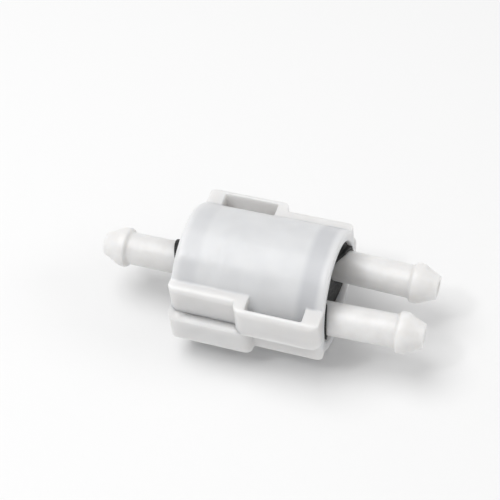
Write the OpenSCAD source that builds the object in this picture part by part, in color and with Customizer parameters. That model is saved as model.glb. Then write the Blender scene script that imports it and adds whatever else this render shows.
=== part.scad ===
// In-line fuel filter with one inlet and two outlets.
// Two identical snap-together half casings hold a sealed filter barrel between two rubber end seals.
// +X runs from the inlet to the outlets, Z is square to the joint between the halves. Millimetres.

/* [Casing] */
// Length of the casing along the flow
casing_len = 29.9; // [28:0.1:34]
// Outer radius of the round casing wall
casing_r = 11.75; // [11.6:0.05:11.9]
// Height of the side rails above the joint between the halves
rail_h = 6.5; // [6:0.1:7.4]
// Half width over the plain side rails
rail_w = 12.2; // [12.2:0.05:12.25]
// Half width over the latch boxes
box_w = 14.2; // [13.9:0.1:14.8]
// How far a latch box runs past the middle of the casing
box_past_middle = 1.5; // [1.1:0.1:1.8]
// Draft of the casing's end faces, in degrees
end_draft = 2.3; // [0:0.1:3]

/* [Stems] */
// Outer radius of a hose stem
stem_r = 3.2; // [2.8:0.05:3.25]
// Radius over the barb
barb_r = 3.9; // [3.6:0.05:4.1]
// Distance from the middle of the casing to the stem tips
tip_x = 32.6; // [30:0.1:36]
// Distance between the two outlet stems where they leave their seal
port_pitch = 12.8; // [12:0.1:12.8]
// Lean of each outlet stem towards the other, in degrees
stem_lean = 1.7; // [0:0.1:2.4]

/* [Filter element] */
// Number of pleats in the filter paper
pleats = 18; // [12:1:22]
// Outer radius of the pleats
pleat_outer_r = 7.3; // [6.5:0.1:7.6]
// Inner radius of the pleats
pleat_inner_r = 3.7; // [3.5:0.1:4.2]

/* [Hidden] */

$fn = 96;
end_x = casing_len / 2;
eps = 0.01;

// Casing: cavity, end lips and parting gap
cavity_r = 10.2;
mouth_r = 9.75;
lip_len = 2.3;
lip_chamfer = 0.45;
cavity_x = end_x - lip_len;
part_gap = 0.03;
rim_fillet = 1.2;
corner_r = 2;
edge_r = 1.1;

// Latches: a slot in each box, open down to the round wall, a ledge at its foot, and a hooked
// tongue on the other half
slot_x0 = 0.7;
slot_x1 = 11.5;
slot_outer_y = 13;
window_y = 9;
window_z = 2;
relief_r = 11.05;
relief_y = 10.3;
relief_h = 3.4;
ledge_y = 12.15;
ledge_h = 1.4;
tongue_clear = 0.4;
tongue_y0 = 11.25;
tongue_y1 = 12.05;
tongue_len = 3.0;
hook_y = 12.85;
hook_clear = 0.1;

// Barrel and seals
barrel_r = 10.1;
barrel_bore_r = 9.1;
barrel_x = 9.8;
seal_r = 10.1;
plug_r = 9.05;
plug_x = 7.4;
seal_gap = 0.05;
face_x = 13.4;
flange_inner_r = 9.6;
valley_x = 11.8;
valley_rise = 0.26;
inlet_collar_x = 18.8;
inlet_collar_r0 = 4.6;
inlet_collar_r1 = 3.5;
inlet_collar_mid = 17.15;
inlet_collar_slant = 20.8;
inlet_collar_turn = 53.5;
outlet_collar_r = 4.1;
outlet_collar_foot_x = 12.4;
outlet_collar_foot_y = 3.4;
outlet_collar_bend_x = 14.45;
outlet_collar_bend_y = 6.4;
outlet_collar_rim_x = 15.15;

// Stems, in their own axes: 0 is the pivot in the seal, positive towards the tip
pivot_x = 12.7;
port_y = port_pitch / 2;
tip = tip_x - pivot_x;
shoulder = -0.5;
neck_end = -6.8;
neck_r = 1.7;
groove_r = 1.4;
groove_at = -5.8;
groove_len = 0.5;
bore_r = 1.4;
neck_bore_r = 1.0;
barb_len = 5.2;
barb_slope = 0.4;
barb_land = 0.75;
taper_r = 2.6;
taper_angle = 27;
nose_len = 0.9;
nose_tip_r = 2.3;
tip_round = 0.2;
run_clear = 0.05;

// Washers, retaining clips and jet
washer_r = 2.3;
washer_x0 = -5.5;
washer_x1 = -5.1;
clip_r = 2.05;
clip_t = 0.4;
clip_gap = 1.1;
jet_r = 1.01;
jet_len = 3;
jet_hole_r = 0.4;

// Filter element
paper_x0 = -4.2;
paper_x1 = 3.1;
paper_t = 0.35;
core_r = 3.3;
core_bore_r = 2.6;
core_slots = 6;
core_slot_w = 1.1;
core_slot_len = 1.8;
core_slot_rows = 2;
core_slot_x0 = 1.0;
core_slot_pitch = 3.5;
cap_t = 1.0;
closed_cap_r = 7.7;
fin_root_r = 5;
fin_tip_r = 9.0;
fin_count = 4;
fin_t = 0.9;
open_cap_r = 8.95;
open_cap_t = 1.9;
leg_angle = 35;
leg_r = 5.6;
leg_size = 1.2;
o_ring_r = 0.55;
o_ring_groove = 1.0;
o_ring_groove_len = 1.2;

// Extrudes a profile drawn in Y and Z from x0 to x1
module along_x(x0, x1) {
    translate([x0, 0, 0]) rotate([90, 0, 90]) linear_extrude(x1 - x0) children();
}

// Revolves a profile drawn as (radius, position) about the X axis
module about_x() {
    rotate([90, 0, 90]) rotate_extrude() children();
}

module rod_x(r, x0, x1) {
    translate([x0, 0, 0]) rotate([0, 90, 0]) cylinder(r = r, h = x1 - x0);
}

// Rectangle from (x0, y0) to (x1, y1) with all corners rounded
module round_rect(x0, y0, x1, y1, r) {
    translate([x0 + r, y0]) square([x1 - x0 - 2 * r, y1 - y0]);
    translate([x0, y0 + r]) square([x1 - x0, y1 - y0 - 2 * r]);
    for (x = [x0 + r, x1 - r], y = [y0 + r, y1 - r]) translate([x, y]) circle(r, $fn = 48);
}

// ---- casing halves ----

// Solid round body of the full casing with filleted rims
module casing_drum() {
    about_x() intersection() {
        round_rect(-casing_r, -end_x, casing_r, end_x, rim_fillet);
        translate([0, -end_x]) square([casing_r, casing_len]);
    }
}

// Side block from x0 to x1, out to half width w on both sides, with rounded ends and top edges
module side_block(x0, x1, w) {
    intersection() {
        translate([0, 0, part_gap]) linear_extrude(rail_h) round_rect(x0, -w, x1, w, corner_r);
        along_x(x0, x1) round_rect(-w, -rail_h, w, rail_h, edge_r);
    }
}

// Keeps one side of the joint line: s = -1 near side, 1 far side
module keep_side(s) {
    intersection() {
        children();
        translate([-end_x, s > 0 ? 0 : -2 * box_w, 0]) cube([casing_len, 2 * box_w, 2 * rail_h]);
    }
}

// Upper part of the slot in a latch box
module latch_window() {
    translate([slot_x0, -slot_outer_y, window_z])
        cube([slot_x1 - slot_x0, slot_outer_y - window_y, rail_h]);
}

// Foot of the slot, which a latch tongue of the other half enters, with its ledge left standing
module latch_relief() {
    difference() {
        translate([slot_x0, -slot_outer_y, -1])
            cube([slot_x1 - slot_x0, slot_outer_y - relief_y, relief_h + 1]);
        rod_x(relief_r, -1, end_x);
        translate([0, -slot_outer_y - 1, -2])
            cube([end_x, slot_outer_y - ledge_y + 1, ledge_h + 2 + part_gap]);
    }
}

// Wedge that gives the end faces of a half casing their draft
module end_wedge() {
    top_x = end_x - casing_len * tan(end_draft);
    rotate([90, 0, 0]) linear_extrude(4 * box_w, center = true) polygon([
        [-end_x - eps, -eps],
        [end_x + eps, -eps],
        [top_x + eps, casing_len],
        [-top_x - eps, casing_len]
    ]);
}

// Tongue that hangs from a plain rail and hooks outwards under the other half's ledge
module latch_tongue() {
    x0 = slot_x0 + tongue_clear;
    x1 = slot_x1 - tongue_clear;
    hook_z = ledge_h + part_gap + hook_clear;
    along_x(-x1, -x0) polygon([
        [-tongue_y0, 1],
        [-tongue_y1, 1],
        [-tongue_y1, -hook_z],
        [-hook_y, -hook_z],
        [-hook_y, -hook_z - 0.4],
        [-tongue_y1, -tongue_len],
        [-tongue_y0, -tongue_len]
    ]);
}

// Bevel on the inner edge of the mouth at +X
module lip_bevel() {
    about_x() polygon([
        [0, end_x - lip_chamfer],
        [mouth_r, end_x - lip_chamfer],
        [mouth_r + lip_chamfer + 1, end_x + 1],
        [0, end_x + 1]
    ]);
}

// One half casing, joint face down. It is the same again after half a turn about Z.
module half_casing() {
    difference() {
        intersection() {
            union() {
                intersection() {
                    casing_drum();
                    translate([-end_x, -casing_r, part_gap]) cube([casing_len, 2 * casing_r, casing_r]);
                }
                difference() {
                    union() {
                        side_block(-end_x, end_x, rail_w);
                        keep_side(-1) side_block(-box_past_middle, end_x, box_w);
                        keep_side(1) side_block(-end_x, box_past_middle, box_w);
                    }
                    latch_window();
                    rotate([0, 0, 180]) latch_window();
                }
            }
            end_wedge();
        }
        rod_x(cavity_r, -cavity_x, cavity_x);
        rod_x(mouth_r, -end_x - 1, end_x + 1);
        for (m = [0, 1]) mirror([m, 0, 0]) lip_bevel();
        latch_relief();
        rotate([0, 0, 180]) latch_relief();
    }
    latch_tongue();
    rotate([0, 0, 180]) latch_tongue();
}

module upper_casing() { color("whitesmoke") half_casing(); }
module lower_casing() { color("whitesmoke") rotate([180, 0, 0]) half_casing(); }

// ---- barrel and end seals ----

module barrel() {
    color([0.93, 0.93, 0.9]) difference() {
        rod_x(barrel_r, -barrel_x, barrel_x);
        rod_x(barrel_bore_r, -barrel_x - 1, barrel_x + 1);
    }
}

// Places children on the axis of an outlet stem: s = -1 near side, 1 far side
module on_port(s) {
    translate([pivot_x, s * port_y, 0]) rotate([0, 0, -s * stem_lean]) children();
}

// Stepped hole for a stem, on the stem's own axis, with a seat for its washer
module stem_hole() {
    rod_x(washer_r + run_clear, neck_end, washer_x1);
    rod_x(neck_r + run_clear, neck_end, shoulder + eps);
    rod_x(stem_r + run_clear, shoulder - run_clear, tip);
}

// Front of the outlet seal in the casing's mouth, whose face rises on both sides of a valley along Z
module valley_face() {
    r = mouth_r - seal_gap;
    rim_x = valley_x + valley_rise * r;
    intersection() {
        rod_x(r, barrel_x + 1, end_x);
        linear_extrude(2 * r, center = true) polygon([
            [barrel_x, -r],
            [rim_x, -r],
            [valley_x, 0],
            [rim_x, r],
            [barrel_x, r]
        ]);
    }
}

// Collar round one outlet stem. Its face slopes up steeply from the valley, then gently to the rim.
module outlet_collar(s) {
    r = mouth_r - seal_gap;
    intersection() {
        on_port(s) rod_x(outlet_collar_r, -1.5, 4);
        rod_x(r, barrel_x + 1, outlet_collar_rim_x);
        linear_extrude(2 * r, center = true) polygon([
            [barrel_x, 0],
            [outlet_collar_foot_x, s * outlet_collar_foot_y],
            [outlet_collar_bend_x, s * outlet_collar_bend_y],
            [outlet_collar_rim_x, s * r],
            [barrel_x, s * r]
        ]);
    }
}

// Rubber end seal for the outlets: flange, plug into the barrel, a face with a valley between the
// stems, and a collar per stem
module outlet_seal() {
    color([0.07, 0.07, 0.07]) difference() {
        union() {
            about_x() polygon([
                [0, plug_x],
                [plug_r, plug_x],
                [plug_r, barrel_x + seal_gap],
                [seal_r, barrel_x + seal_gap],
                [seal_r, cavity_x - seal_gap],
                [flange_inner_r, cavity_x - seal_gap],
                [flange_inner_r, valley_x - 0.3],
                [0, valley_x - 0.3]
            ]);
            valley_face();
            for (s = [-1, 1]) outlet_collar(s);
        }
        for (s = [-1, 1]) on_port(s) stem_hole();
    }
}

// Rubber end seal for the inlet: flange, plug and a long tapered collar along the stem, whose end
// is cut at a slant
module inlet_seal() {
    color([0.07, 0.07, 0.07]) difference() {
        about_x() polygon([
            [0, -plug_x],
            [plug_r, -plug_x],
            [plug_r, -barrel_x - seal_gap],
            [seal_r, -barrel_x - seal_gap],
            [seal_r, -cavity_x + seal_gap],
            [mouth_r - seal_gap, -cavity_x + seal_gap],
            [mouth_r - seal_gap, -face_x],
            [inlet_collar_r0 + 0.6, -face_x],
            [inlet_collar_r0, -face_x - 0.6],
            [inlet_collar_r1, -inlet_collar_x],
            [0, -inlet_collar_x]
        ]);
        mirror([1, 0, 0]) translate([pivot_x, 0, 0]) stem_hole();
        rotate([-inlet_collar_turn, 0, 0]) translate([-inlet_collar_mid, 0, 0])
            rotate([0, -inlet_collar_slant, 0]) translate([-8, -8, -8]) cube([8, 16, 16]);
    }
}

// ---- hose stems ----

// Outline of a stem: neck with a clip groove, shoulder, plain stem, then a barb with a short land,
// a rounded taper and a stub nose
module stem_outline() {
    land_end = tip - barb_len + barb_slope + barb_land;
    nose_x = tip - nose_len;
    cone_x = land_end + taper_r * sin(taper_angle);
    cone_r = barb_r - taper_r * (1 - cos(taper_angle));
    polygon(concat(
        [
            [neck_bore_r, neck_end],
            [neck_r - 0.3, neck_end],
            [neck_r, neck_end + 0.3],
            [neck_r, groove_at - groove_len / 2],
            [groove_r, groove_at - groove_len / 2],
            [groove_r, groove_at + groove_len / 2],
            [neck_r, groove_at + groove_len / 2],
            [neck_r, shoulder],
            [stem_r - 0.2, shoulder],
            [stem_r, shoulder + 0.2],
            [stem_r, tip - barb_len],
            [barb_r, tip - barb_len + barb_slope]
        ],
        [for (i = [0 : 8]) let (a = taper_angle * i / 8)
            [barb_r - taper_r * (1 - cos(a)), land_end + taper_r * sin(a)]],
        [
            [cone_r - (nose_x - cone_x) * tan(taper_angle), nose_x],
            [nose_tip_r, tip - tip_round],
            [nose_tip_r - tip_round, tip],
            [bore_r + 0.2, tip],
            [bore_r, tip - 0.2],
            [bore_r, shoulder],
            [neck_bore_r, shoulder]
        ]
    ));
}

module stem() { color("snow") about_x() stem_outline(); }

module inlet_stem() { mirror([1, 0, 0]) translate([pivot_x, 0, 0]) stem(); }
module outlet_stem() { on_port(1) stem(); }
module return_stem() { on_port(-1) stem(); }

// Washer that spreads a stem's clip over the soft seal
module washer() {
    color("silver") difference() {
        rod_x(washer_r, washer_x0, washer_x1);
        rod_x(neck_r + run_clear, washer_x0 - 1, washer_x1 + 1);
    }
}

module inlet_washer() { mirror([1, 0, 0]) translate([pivot_x, 0, 0]) washer(); }
module outlet_washer() { on_port(1) washer(); }
module return_washer() { on_port(-1) washer(); }

// Split ring in the stem's groove that locks the stem behind its washer
module clip() {
    color("silver") difference() {
        rod_x(clip_r, groove_at - clip_t / 2, groove_at + clip_t / 2);
        rod_x(groove_r, groove_at - 1, groove_at + 1);
        translate([groove_at - 1, -clip_gap / 2, -2 * clip_r]) cube([2, clip_gap, 2 * clip_r]);
    }
}

module inlet_clip() { mirror([1, 0, 0]) translate([pivot_x, 0, 0]) clip(); }
module outlet_clip() { on_port(1) clip(); }
module return_clip() { on_port(-1) clip(); }

// Brass metering jet pressed into the neck of the return stem
module return_jet() {
    color("goldenrod") on_port(-1) about_x() polygon([
        [jet_hole_r, neck_end + 0.3],
        [jet_r, neck_end + 0.3],
        [jet_r, neck_end + jet_len],
        [jet_hole_r + 0.4, neck_end + jet_len],
        [jet_hole_r, neck_end + jet_len - 0.5]
    ]);
}

// ---- filter element ----

// Pleated paper ring: a closed star outline, offset inwards by the paper's thickness
module filter_paper() {
    function star(r_out, r_in) = [for (i = [0 : 2 * pleats - 1])
        let (r = i % 2 == 0 ? r_out : r_in, a = 180 * i / pleats) [r * cos(a), r * sin(a)]];
    color([0.91, 0.83, 0.62]) along_x(paper_x0, paper_x1) difference() {
        polygon(star(pleat_outer_r, pleat_inner_r));
        polygon(star(pleat_outer_r - 3 * paper_t, pleat_inner_r - paper_t));
    }
}

// Slotted tube that holds the paper open
module core_tube() {
    color([0.9, 0.9, 0.88]) difference() {
        rod_x(core_r, paper_x0 + eps, paper_x1 - eps);
        rod_x(core_bore_r, paper_x0 - 1, paper_x1 + 1);
        for (i = [0 : core_slots - 1], row = [0 : core_slot_rows - 1])
            translate([paper_x0 + core_slot_x0 + row * core_slot_pitch, 0, 0])
                rotate([i * 360 / core_slots, 0, 0]) translate([0, -core_slot_w / 2, core_bore_r - 1])
                    cube([core_slot_len, core_slot_w, core_r - core_bore_r + 2]);
    }
}

// Blind end of the element, with fins that centre it in the barrel and hold it off the inlet seal
module closed_cap() {
    color([0.9, 0.9, 0.88]) {
        rod_x(closed_cap_r, paper_x0 - cap_t, paper_x0 - eps);
        for (i = [0 : fin_count - 1]) rotate([45 + i * 360 / fin_count, 0, 0])
            translate([-plug_x + seal_gap, -fin_t / 2, fin_root_r])
                cube([plug_x - seal_gap + paper_x0 - eps, fin_t, fin_tip_r - fin_root_r]);
    }
}

// Open end of the element: seals in the barrel bore, and its legs stand on the outlet seal
module open_cap() {
    x0 = paper_x1 + eps;
    x1 = x0 + open_cap_t;
    mid_x = (x0 + x1) / 2;
    color([0.9, 0.9, 0.88]) difference() {
        union() {
            rod_x(open_cap_r, x0, x1);
            for (a = [leg_angle, 180 - leg_angle, 180 + leg_angle, -leg_angle]) rotate([a, 0, 0])
                translate([x1 - eps, -leg_size / 2, leg_r])
                    cube([plug_x - seal_gap - x1 + eps, leg_size, leg_size]);
        }
        rod_x(core_bore_r, x0 - 1, x1 + 1);
        difference() {
            rod_x(open_cap_r + 1, mid_x - o_ring_groove_len / 2, mid_x + o_ring_groove_len / 2);
            rod_x(open_cap_r - o_ring_groove, x0, x1);
        }
    }
}

module cap_o_ring() {
    ring_mid_r = barrel_bore_r - o_ring_r - 0.02;
    color([0.1, 0.1, 0.1]) about_x()
        translate([ring_mid_r, paper_x1 + eps + open_cap_t / 2]) circle(o_ring_r, $fn = 32);
}

upper_casing();
lower_casing();
barrel();
inlet_seal();
outlet_seal();
inlet_stem();
outlet_stem();
return_stem();
inlet_washer();
outlet_washer();
return_washer();
inlet_clip();
outlet_clip();
return_clip();
return_jet();
filter_paper();
core_tube();
closed_cap();
open_cap();
cap_o_ring();
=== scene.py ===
"""The looks of the in-line fuel filter: moulded casing halves, hose stems, rubber seals, light and camera."""
import math

import bmesh
import bpy
from mathutils import Matrix, Vector


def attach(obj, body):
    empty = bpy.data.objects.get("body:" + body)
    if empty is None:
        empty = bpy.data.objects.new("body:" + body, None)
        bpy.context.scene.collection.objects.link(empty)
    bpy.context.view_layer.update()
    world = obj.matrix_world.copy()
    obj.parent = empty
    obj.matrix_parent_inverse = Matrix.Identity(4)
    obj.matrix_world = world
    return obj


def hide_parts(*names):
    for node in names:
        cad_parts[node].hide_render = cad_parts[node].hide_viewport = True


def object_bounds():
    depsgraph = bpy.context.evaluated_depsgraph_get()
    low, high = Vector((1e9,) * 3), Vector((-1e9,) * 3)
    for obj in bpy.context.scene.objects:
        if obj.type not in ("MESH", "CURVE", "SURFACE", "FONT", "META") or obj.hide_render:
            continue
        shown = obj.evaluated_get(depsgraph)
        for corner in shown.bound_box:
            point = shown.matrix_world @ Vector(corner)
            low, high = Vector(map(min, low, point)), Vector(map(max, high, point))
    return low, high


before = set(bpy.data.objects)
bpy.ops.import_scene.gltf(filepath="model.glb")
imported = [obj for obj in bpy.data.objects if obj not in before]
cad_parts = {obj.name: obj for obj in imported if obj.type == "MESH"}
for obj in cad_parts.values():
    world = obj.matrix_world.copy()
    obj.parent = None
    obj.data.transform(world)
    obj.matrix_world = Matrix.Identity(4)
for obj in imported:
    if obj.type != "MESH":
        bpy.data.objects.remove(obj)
cad_lo, cad_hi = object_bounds()
MM = 0.001

# Camera: where it stands round the object, its roll, distance and lens, and the small shift of the picture
CAMERA_AZIMUTH = 22.13
CAMERA_ELEVATION = 51.41
CAMERA_ROLL = -5.63
CAMERA_DISTANCE = 217.2 * MM
CAMERA_LENS = 81.7
CAMERA_SHIFT = (-0.0280, 0.0524)

# Hose stems, in millimetres. Each is measured along its own axis, from its pivot in the seal to its tip.
# The paired outlet stems stand PORT_Y either side of the middle and lean together by STEM_LEAN degrees.
STEM_PIVOT_X = 12.7
STEM_TIP = 19.9
STEM_R = 3.2
BARB_R = 3.9
PORT_Y = 6.4
STEM_LEAN = 1.7

# Half casing, in millimetres: the height of its joint face, the radii over which the round wall's look ends,
# and the stretches of X that get the painted shade of the dark seals seen through the wall, and over which
# its ripples die out
JOINT_Z = 0.03
DRUM_EDGE = (11.8, 12.1)
OUTLET_SHADE_RISE, OUTLET_SHADE_FALL = (9.0, 10.6), (12.6, 13.8)
INLET_SHADE_RISE, INLET_SHADE_FALL = (-13.8, -12.8), (-10.6, -9.2)
RIPPLE_FADE = (-6.0, 6.0)

# Size of the floor and how far the camera sees, in metres
FLOOR_HALF_SIZE = 3.0
CAMERA_CLIP = (0.01, 20)


# ---------------------------------------------------------------- node material helpers

class Nodes:
    """A short way to write a shader: each method adds one node and returns its output."""

    def __init__(self, name):
        self.material = bpy.data.materials.new(name)
        self.material.use_nodes = True
        self.tree = self.material.node_tree
        self.shader = self.tree.nodes["Principled BSDF"]
        coords = self.tree.nodes.new("ShaderNodeTexCoord")
        self.place = coords.outputs["Object"]

    def set(self, **values):
        for key, value in values.items():
            self.shader.inputs[key.replace("_", " ")].default_value = value

    def link(self, source, name):
        self.tree.links.new(source, self.shader.inputs[name])

    def add(self, kind, inputs=None, **settings):
        node = self.tree.nodes.new("ShaderNode" + kind)
        for key, value in settings.items():
            setattr(node, key, value)
        for key, value in (inputs or {}).items():
            if isinstance(value, bpy.types.NodeSocket):
                self.tree.links.new(value, node.inputs[key])
            else:
                node.inputs[key].default_value = value
        return node

    def stretched(self, x, y, z):
        """The object's coordinates, each scaled: a number below 1 draws a pattern out along that axis."""
        return self.add("Mapping", {"Vector": self.place, "Scale": (x, y, z)}).outputs["Vector"]

    def noise(self, size_mm, detail=3.0, rough=0.5, vector=None, distortion=0.0):
        """Noise whose blotches are about size_mm across."""
        node = self.add("TexNoise", {
            "Vector": vector or self.place, "Scale": 1 / (size_mm * MM), "Detail": detail,
            "Roughness": rough, "Distortion": distortion})
        return node.outputs["Fac"]

    def span(self, value, low, high, to_low=0.0, to_high=1.0, smooth=False):
        """Maps low..high to to_low..to_high and clamps outside."""
        node = self.add("MapRange", {
            "Value": value, "From Min": low, "From Max": high, "To Min": to_low, "To Max": to_high})
        node.interpolation_type = "SMOOTHSTEP" if smooth else "LINEAR"
        return node.outputs["Result"]

    def fade(self, x, stretch, before, after):
        """Goes smoothly from one value to another over a stretch of X, in millimetres."""
        return self.span(x, stretch[0] * MM, stretch[1] * MM, before, after, smooth=True)

    def math(self, operation, a, b):
        return self.add("Math", {0: a, 1: b}, operation=operation).outputs[0]

    def mix(self, share, first, second):
        node = self.add("Mix", data_type="RGBA")
        for socket, value in ((node.inputs[0], share), (node.inputs[6], first), (node.inputs[7], second)):
            if isinstance(value, bpy.types.NodeSocket):
                self.tree.links.new(value, socket)
            else:
                socket.default_value = value
        return node.outputs[2]

    def bump(self, height, depth_mm, normal=None):
        inputs = {"Height": height, "Strength": 1.0, "Distance": depth_mm * MM}
        if normal:
            inputs["Normal"] = normal
        return self.add("Bump", inputs).outputs["Normal"]


def grey(value, warm=0.0):
    """A grey colour, a little warmer if asked."""
    return (value * (1 + warm), value, value * (1 - warm), 1.0)


# ---------------------------------------------------------------- materials

def casing_plastic():
    """Natural white acetal, milky and faintly see-through. The cool bands at both ends are painted shade: the
    darkening of the dark seals seen through the wall, put into the base colour.
    """
    n = Nodes("casing_plastic")
    x = n.add("SeparateXYZ", {0: n.place}).outputs["X"]
    radius = n.add("VectorMath", {0: n.stretched(0, 1, 1)}, operation="LENGTH").outputs["Value"]
    on_drum = n.span(radius, DRUM_EDGE[0] * MM, DRUM_EDGE[1] * MM, 1.0, 0.0)

    # Painted shade: cool, darker bands over both ends of the round wall, standing in for the dark seals
    # inside showing through
    outlet_painted_shade = n.math(
        "MULTIPLY", n.fade(x, OUTLET_SHADE_RISE, 0.0, 0.42), n.fade(x, OUTLET_SHADE_FALL, 1.0, 0.0))
    inlet_painted_shade = n.math(
        "MULTIPLY", n.fade(x, INLET_SHADE_FALL, 0.15, 0.0), n.fade(x, INLET_SHADE_RISE, 0.0, 1.0))
    painted_seal_shade = n.math("MULTIPLY", n.math("ADD", outlet_painted_shade, inlet_painted_shade), on_drum)
    mottle = n.span(n.noise(4.5, 1.0), 0.3, 0.7)
    drum = n.mix(mottle, (0.675, 0.68, 0.69, 1), (0.72, 0.725, 0.733, 1))
    rails = n.mix(mottle, grey(0.70, 0.008), grey(0.74, 0.005))
    body = n.mix(on_drum, rails, drum)
    n.link(n.mix(painted_seal_shade, body, (0.42, 0.43, 0.46, 1)), "Base Color")
    n.link(n.span(n.noise(4.0, 1.0), 0.3, 0.7, 0.30, 0.36), "Roughness")

    # Shallow sink marks everywhere, and ripples on the round wall that die out towards the outlet
    sink = n.bump(n.noise(3.2, 0.0, vector=n.stretched(1.4, 0.7, 0.7)), 0.05)
    rippled = n.math("MULTIPLY", on_drum, n.fade(x, RIPPLE_FADE, 1.0, 0.1))
    ripples = n.math("MULTIPLY", n.noise(1.6, 0.0, vector=n.stretched(1.4, 0.45, 0.45)), rippled)
    n.link(n.bump(ripples, 0.09, sink), "Normal")
    n.set(IOR=1.5, Subsurface_Weight=1.0, Subsurface_Radius=(1.0, 0.96, 0.92), Subsurface_Scale=3.0 * MM)
    return n.material


def stem_plastic():
    """The same plastic, smoother and a little warmer, with faint draw marks along the stem."""
    n = Nodes("stem_plastic")
    cloudy = n.mix(n.span(n.noise(3.0, 4.0), 0.35, 0.65), grey(0.75, 0.012), grey(0.80, 0.006))
    n.link(cloudy, "Base Color")
    n.link(n.span(n.noise(0.9, 4.0, 0.6, n.stretched(0.25, 1, 1)), 0.3, 0.7, 0.28, 0.46), "Roughness")
    draw = n.bump(n.noise(0.7, 2.0, vector=n.stretched(0.1, 1, 1)), 0.008)
    n.link(n.bump(n.noise(0.2, 3.0), 0.004, draw), "Normal")
    n.set(IOR=1.5, Subsurface_Weight=1.0, Subsurface_Radius=(1.0, 0.96, 0.9), Subsurface_Scale=2.2 * MM)
    return n.material


def seal_rubber():
    """Black nitrile: dull, slightly dusty, with a fine moulded grain."""
    n = Nodes("seal_rubber")
    dust = n.span(n.noise(1.1, 5.0, 0.7), 0.52, 0.78, 0.0, 0.6)
    n.link(n.mix(dust, (0.005, 0.0055, 0.0055, 1), (0.018, 0.018, 0.017, 1)), "Base Color")
    n.link(n.span(n.noise(0.8, 4.0), 0.3, 0.7, 0.42, 0.66), "Roughness")
    n.link(n.bump(n.noise(0.18, 3.0, 0.6), 0.012, n.bump(n.noise(1.2), 0.03)), "Normal")
    n.set(IOR=1.5)
    return n.material


def barrel_plastic():
    """Natural nylon tube with faint flow lines."""
    n = Nodes("barrel_plastic")
    flow = n.noise(4.0, 4.0, vector=n.stretched(0.3, 1, 1))
    n.link(n.mix(flow, grey(0.72, 0.05), grey(0.80, 0.03)), "Base Color")
    n.link(n.span(n.noise(1.5), 0.3, 0.7, 0.14, 0.30), "Roughness")
    n.link(n.bump(n.noise(0.6, vector=n.stretched(0.1, 1, 1)), 0.01), "Normal")
    n.set(Subsurface_Weight=0.5, Subsurface_Radius=(1.0, 0.9, 0.7), Subsurface_Scale=1.0 * MM)
    return n.material


def element_plastic():
    """Moulded nylon of the filter element's caps and core."""
    n = Nodes("element_plastic")
    n.link(n.mix(n.noise(2.0, 4.0), grey(0.66, 0.05), grey(0.74, 0.03)), "Base Color")
    n.link(n.span(n.noise(0.8), 0.3, 0.7, 0.38, 0.55), "Roughness")
    n.link(n.bump(n.noise(0.2, 3.0), 0.006), "Normal")
    return n.material


def steel():
    """Stamped stainless steel with fine circular brush marks."""
    n = Nodes("steel")
    marks = n.noise(0.25, 4.0, 0.6, n.stretched(4, 1, 1))
    n.link(n.mix(marks, grey(0.48), grey(0.66)), "Base Color")
    n.link(n.span(marks, 0.3, 0.7, 0.22, 0.42), "Roughness")
    n.link(n.bump(marks, 0.004), "Normal")
    n.set(Metallic=1.0)
    return n.material


def jet_brass():
    """Turned brass with tool marks."""
    n = Nodes("jet_brass")
    turned = n.noise(0.12, 2.0, vector=n.stretched(3, 0.3, 0.3))
    n.link(n.mix(turned, (0.58, 0.40, 0.16, 1), (0.76, 0.58, 0.28, 1)), "Base Color")
    n.link(n.span(turned, 0.3, 0.7, 0.20, 0.36), "Roughness")
    n.link(n.bump(turned, 0.005), "Normal")
    n.set(Metallic=1.0)
    return n.material


def filter_paper():
    """Resin-treated filter paper: fibres and blotches."""
    n = Nodes("filter_paper")
    fibres = n.noise(0.3, 6.0, 0.75, n.stretched(1, 0.4, 0.4), 1.2)
    n.link(n.mix(fibres, (0.56, 0.43, 0.22, 1), (0.80, 0.70, 0.47, 1)), "Base Color")
    n.link(n.span(n.noise(0.5), 0.3, 0.7, 0.78, 0.95), "Roughness")
    n.link(n.bump(fibres, 0.03), "Normal")
    return n.material


# ---------------------------------------------------------------- mesh helpers

def piece(name, bm, material, body, replaces):
    """Makes bm, in millimetres of the frame, a smooth object that rides on a body in place of a CAD node."""
    bmesh.ops.recalc_face_normals(bm, faces=bm.faces)
    bm.transform(Matrix.Scale(MM, 4))
    mesh = bpy.data.meshes.new(name)
    bm.to_mesh(mesh)
    bm.free()
    mesh.materials.append(material)
    mesh.shade_smooth()
    obj = bpy.data.objects.new(name, mesh)
    bpy.context.scene.collection.objects.link(obj)
    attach(obj, body)
    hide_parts(replaces)


def cad_shape(node):
    """A copy of a CAD node's mesh, in millimetres."""
    bm = bmesh.new()
    bm.from_mesh(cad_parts[node].data)
    bm.transform(Matrix.Scale(1 / MM, 4))
    bmesh.ops.remove_doubles(bm, verts=bm.verts, dist=1e-4)
    return bm


def softened(bm, voxel, passes, share):
    """The same shape with every sharp edge and inner corner softened, as a mould leaves it. It uses up bm."""
    mesh = bpy.data.meshes.new("moulding")
    bm.to_mesh(mesh)
    bm.free()
    mesh.materials.clear()
    obj = bpy.data.objects.new("moulding", mesh)
    bpy.context.scene.collection.objects.link(obj)
    remesh = obj.modifiers.new("remesh", "REMESH")
    remesh.mode = "VOXEL"
    remesh.voxel_size = voxel
    smooth = obj.modifiers.new("smooth", "SMOOTH")
    smooth.factor = 0.5
    smooth.iterations = passes
    thin = obj.modifiers.new("thin", "DECIMATE")
    thin.ratio = share
    graph = bpy.context.evaluated_depsgraph_get()
    done = bmesh.new()
    done.from_object(obj, graph)
    bpy.data.objects.remove(obj)
    return done


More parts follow.
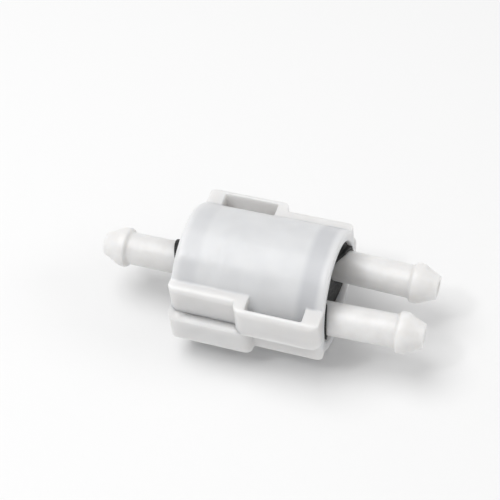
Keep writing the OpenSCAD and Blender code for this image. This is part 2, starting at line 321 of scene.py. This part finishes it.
def rounded(points, steps=5):
    """A closed outline from (x, r, fillet) corners: each corner with a fillet becomes an arc."""
    outline = []
    for i, (x, r, fillet) in enumerate(points):
        here = Vector((x, r))
        if not fillet:
            outline.append(here)
            continue
        before = (Vector(points[i - 1][:2]) - here).normalized()
        after = (Vector(points[(i + 1) % len(points)][:2]) - here).normalized()
        half = before.angle(after) / 2
        reach = fillet / math.tan(half)
        centre = here + (before + after).normalized() * (fillet / math.sin(half))
        start, end = here + before * reach - centre, here + after * reach - centre
        turn = start.angle_signed(end)
        for k in range(steps + 1):
            outline.append(centre + Matrix.Rotation(-turn * k / steps, 2) @ start)
    return outline


def lathe(outline, seam, segments=144):
    """Turns a closed outline of (x, r) points about X, with a line on each side where the mould parts."""
    bm = bmesh.new()
    rings = []
    for i in range(segments):
        angle = 2 * math.pi * i / segments
        lift = seam if i % (segments // 2) == 0 else 0.0
        rings.append([bm.verts.new((p.x, (p.y + lift) * math.cos(angle), (p.y + lift) * math.sin(angle)))
                      for p in outline])
    for i in range(segments):
        this, following = rings[i], rings[(i + 1) % segments]
        for k in range(len(outline)):
            m = (k + 1) % len(outline)
            bm.faces.new((this[k], this[m], following[m], following[k]))
    return bm


# ---------------------------------------------------------------- pieces

def stem_outline():
    """Neck with its clip groove, shoulder, plain stem, barb with a rounded taper, and a short nose."""
    neck_end, neck_r, neck_bore_r, shoulder_x = -6.8, 1.7, 1.0, -0.5
    groove_x0, groove_x1, groove_r = -6.05, -5.55, 1.4
    barb_foot, land_start, land_end = STEM_TIP - 5.2, STEM_TIP - 4.8, STEM_TIP - 4.05
    nose_x, tip_r, bore_r = STEM_TIP - 0.9, 2.3, 1.4
    taper_r, taper_angle, taper_steps = 2.6, math.radians(27), 10
    fillet, groove_fillet = 0.1, 0.04
    turns = [taper_angle * k / taper_steps for k in range(taper_steps + 1)]
    taper = [(land_end + taper_r * math.sin(a), BARB_R - taper_r * (1 - math.cos(a)), 0) for a in turns]
    nose_r = taper[-1][1] - (nose_x - taper[-1][0]) * math.tan(taper_angle)
    return rounded([
        (neck_end, neck_bore_r, fillet), (neck_end, neck_r, 0.25),
        (groove_x0, neck_r, groove_fillet), (groove_x0, groove_r, groove_fillet),
        (groove_x1, groove_r, groove_fillet), (groove_x1, neck_r, groove_fillet),
        (shoulder_x, neck_r, fillet), (shoulder_x, STEM_R, 0.2),
        (barb_foot, STEM_R, 0.65), (land_start, BARB_R, 0.6),
        *taper,
        (nose_x, nose_r, 0.9), (STEM_TIP, tip_r, 0.3),
        (STEM_TIP, bore_r, 0.18), (shoulder_x, bore_r, fillet), (shoulder_x, neck_bore_r, fillet)])


def stem(name, body, place, material):
    bm = lathe(stem_outline(), seam=0.025)
    bm.transform(place)
    piece(name + "_moulding", bm, material, body, name)


def port(side):
    """Where an outlet stem stands: side -1 is near, 1 is far."""
    return Matrix.Translation((STEM_PIVOT_X, side * PORT_Y, 0)) @ Matrix.Rotation(
        math.radians(-side * STEM_LEAN), 4, "Z")


def make_stems():
    plastic = stem_plastic()
    inlet = Matrix.Rotation(math.pi, 4, "Z") @ Matrix.Translation((STEM_PIVOT_X, 0, 0))
    stem("inlet_stem", "inlet", inlet, plastic)
    stem("outlet_stem", "outlet", port(1), plastic)
    stem("return_stem", "return", port(-1), plastic)


def cut(bm, height, keep_above):
    """Cuts a shape level at a height, keeps one side and closes the cut."""
    made = bmesh.ops.bisect_plane(
        bm, geom=bm.verts[:] + bm.edges[:] + bm.faces[:], plane_co=(0, 0, height), plane_no=(0, 0, 1),
        clear_inner=keep_above, clear_outer=not keep_above)["geom_cut"]
    edges = [e for e in made if isinstance(e, bmesh.types.BMEdge)]
    bmesh.ops.triangle_fill(bm, use_beauty=True, edges=edges)


def half_casing():
    """Soft edges everywhere but at the joint between the halves, where the mould parts and leaves them crisp.

    The tongues that pass the joint face are kept as they are. The rest is softened with its joint face moved
    down out of the way, and then cut off level at the joint.
    """
    spare, level, overlap = 1.2, 0.005, 0.01
    bm = cad_shape("upper_casing")
    tongues = bm.copy()
    cut(tongues, JOINT_Z - overlap, keep_above=False)
    for v in bm.verts:
        if abs(v.co.z - JOINT_Z) < level:
            v.co.z = -spare
    half = softened(bm, voxel=0.17, passes=6, share=1.0)
    cut(half, JOINT_Z, keep_above=True)
    mesh = bpy.data.meshes.new("tongues")
    tongues.to_mesh(mesh)
    half.from_mesh(mesh)
    tongues.free()
    return half


def make_casing():
    """The lower half is the upper one turned over about the flow axis."""
    plastic = casing_plastic()
    half = half_casing()
    lower = half.copy()
    lower.transform(Matrix.Rotation(math.pi, 4, "X"))
    piece("upper_casing_moulding", half, plastic, "casing", "upper_casing")
    piece("lower_casing_moulding", lower, plastic, "casing", "lower_casing")


def make_seals():
    rubber = seal_rubber()
    for node in ("inlet_seal", "outlet_seal"):
        shape = softened(cad_shape(node), voxel=0.12, passes=5, share=0.35)
        piece(node + "_moulding", shape, rubber, "casing", node)
    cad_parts["cap_o_ring"].data.materials.clear()
    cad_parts["cap_o_ring"].data.materials.append(rubber)


def finish_inner_pieces():
    """The pieces that keep their CAD shape get their own materials."""
    looks = {
        barrel_plastic(): ["barrel"],
        element_plastic(): ["core_tube", "closed_cap", "open_cap"],
        filter_paper(): ["filter_paper"],
        steel(): [p + s for p in ("inlet", "outlet", "return") for s in ("_washer", "_clip")],
        jet_brass(): ["return_jet"],
    }
    for material, names in looks.items():
        for name in names:
            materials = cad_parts[name].data.materials
            materials.clear()
            materials.append(material)


# ---------------------------------------------------------------- floor, light and camera

def make_floor():
    bm = bmesh.new()
    bmesh.ops.create_grid(bm, x_segments=1, y_segments=1, size=FLOOR_HALF_SIZE)
    bm.transform(Matrix.Translation((0, 0, cad_lo.z)))
    mesh = bpy.data.meshes.new("floor")
    bm.to_mesh(mesh)
    bm.free()
    floor = bpy.data.objects.new("floor", mesh)
    bpy.context.scene.collection.objects.link(floor)
    n = Nodes("floor")
    n.set(Base_Color=grey(0.86), Roughness=0.9, Specular_IOR_Level=0.1)
    mesh.materials.append(n.material)


def area_light(name, place, size, watts):
    """A round soft light that aims at the middle of the object."""
    light = bpy.data.lights.new(name, "AREA")
    light.shape = "DISK"
    light.size = size
    light.energy = watts
    obj = bpy.data.objects.new(name, light)
    obj.location = place
    obj.rotation_mode = "QUATERNION"
    obj.rotation_quaternion = (-Vector(place)).to_track_quat("-Z", "Y")
    bpy.context.scene.collection.objects.link(obj)


def make_light():
    world = bpy.data.worlds.new("studio")
    world.use_nodes = True
    sky = world.node_tree.nodes["Background"].inputs
    sky["Color"].default_value = (1, 1, 1, 1)
    sky["Strength"].default_value = 0.52
    bpy.context.scene.world = world
    area_light("top", (-0.18, -0.02, 0.60), 0.50, 2.2)
    area_light("front", (-0.20, -0.22, 0.46), 0.07, 0.32)
    area_light("right", (0.50, 0.10, 0.35), 0.25, 0.45)


def make_camera():
    azimuth, elevation, roll = (math.radians(v) for v in (CAMERA_AZIMUTH, CAMERA_ELEVATION, CAMERA_ROLL))
    back = Vector((math.sin(azimuth) * math.cos(elevation), -math.cos(azimuth) * math.cos(elevation),
                   math.sin(elevation)))
    level = Vector((math.cos(azimuth), math.sin(azimuth), 0))
    rise = back.cross(level)
    right = math.cos(roll) * level + math.sin(roll) * rise
    up = math.cos(roll) * rise - math.sin(roll) * level
    data = bpy.data.cameras.new("camera")
    data.lens = CAMERA_LENS
    data.shift_x, data.shift_y = CAMERA_SHIFT
    data.clip_start, data.clip_end = CAMERA_CLIP
    camera = bpy.data.objects.new("camera", data)
    camera.matrix_world = Matrix.Translation(back * CAMERA_DISTANCE) @ Matrix(
        (right, up, back)).transposed().to_4x4()
    bpy.context.scene.collection.objects.link(camera)
    bpy.context.scene.camera = camera


make_casing()
make_seals()
make_stems()
finish_inner_pieces()
make_floor()
make_light()
make_camera()
bpy.context.scene.view_settings.view_transform = "Standard"
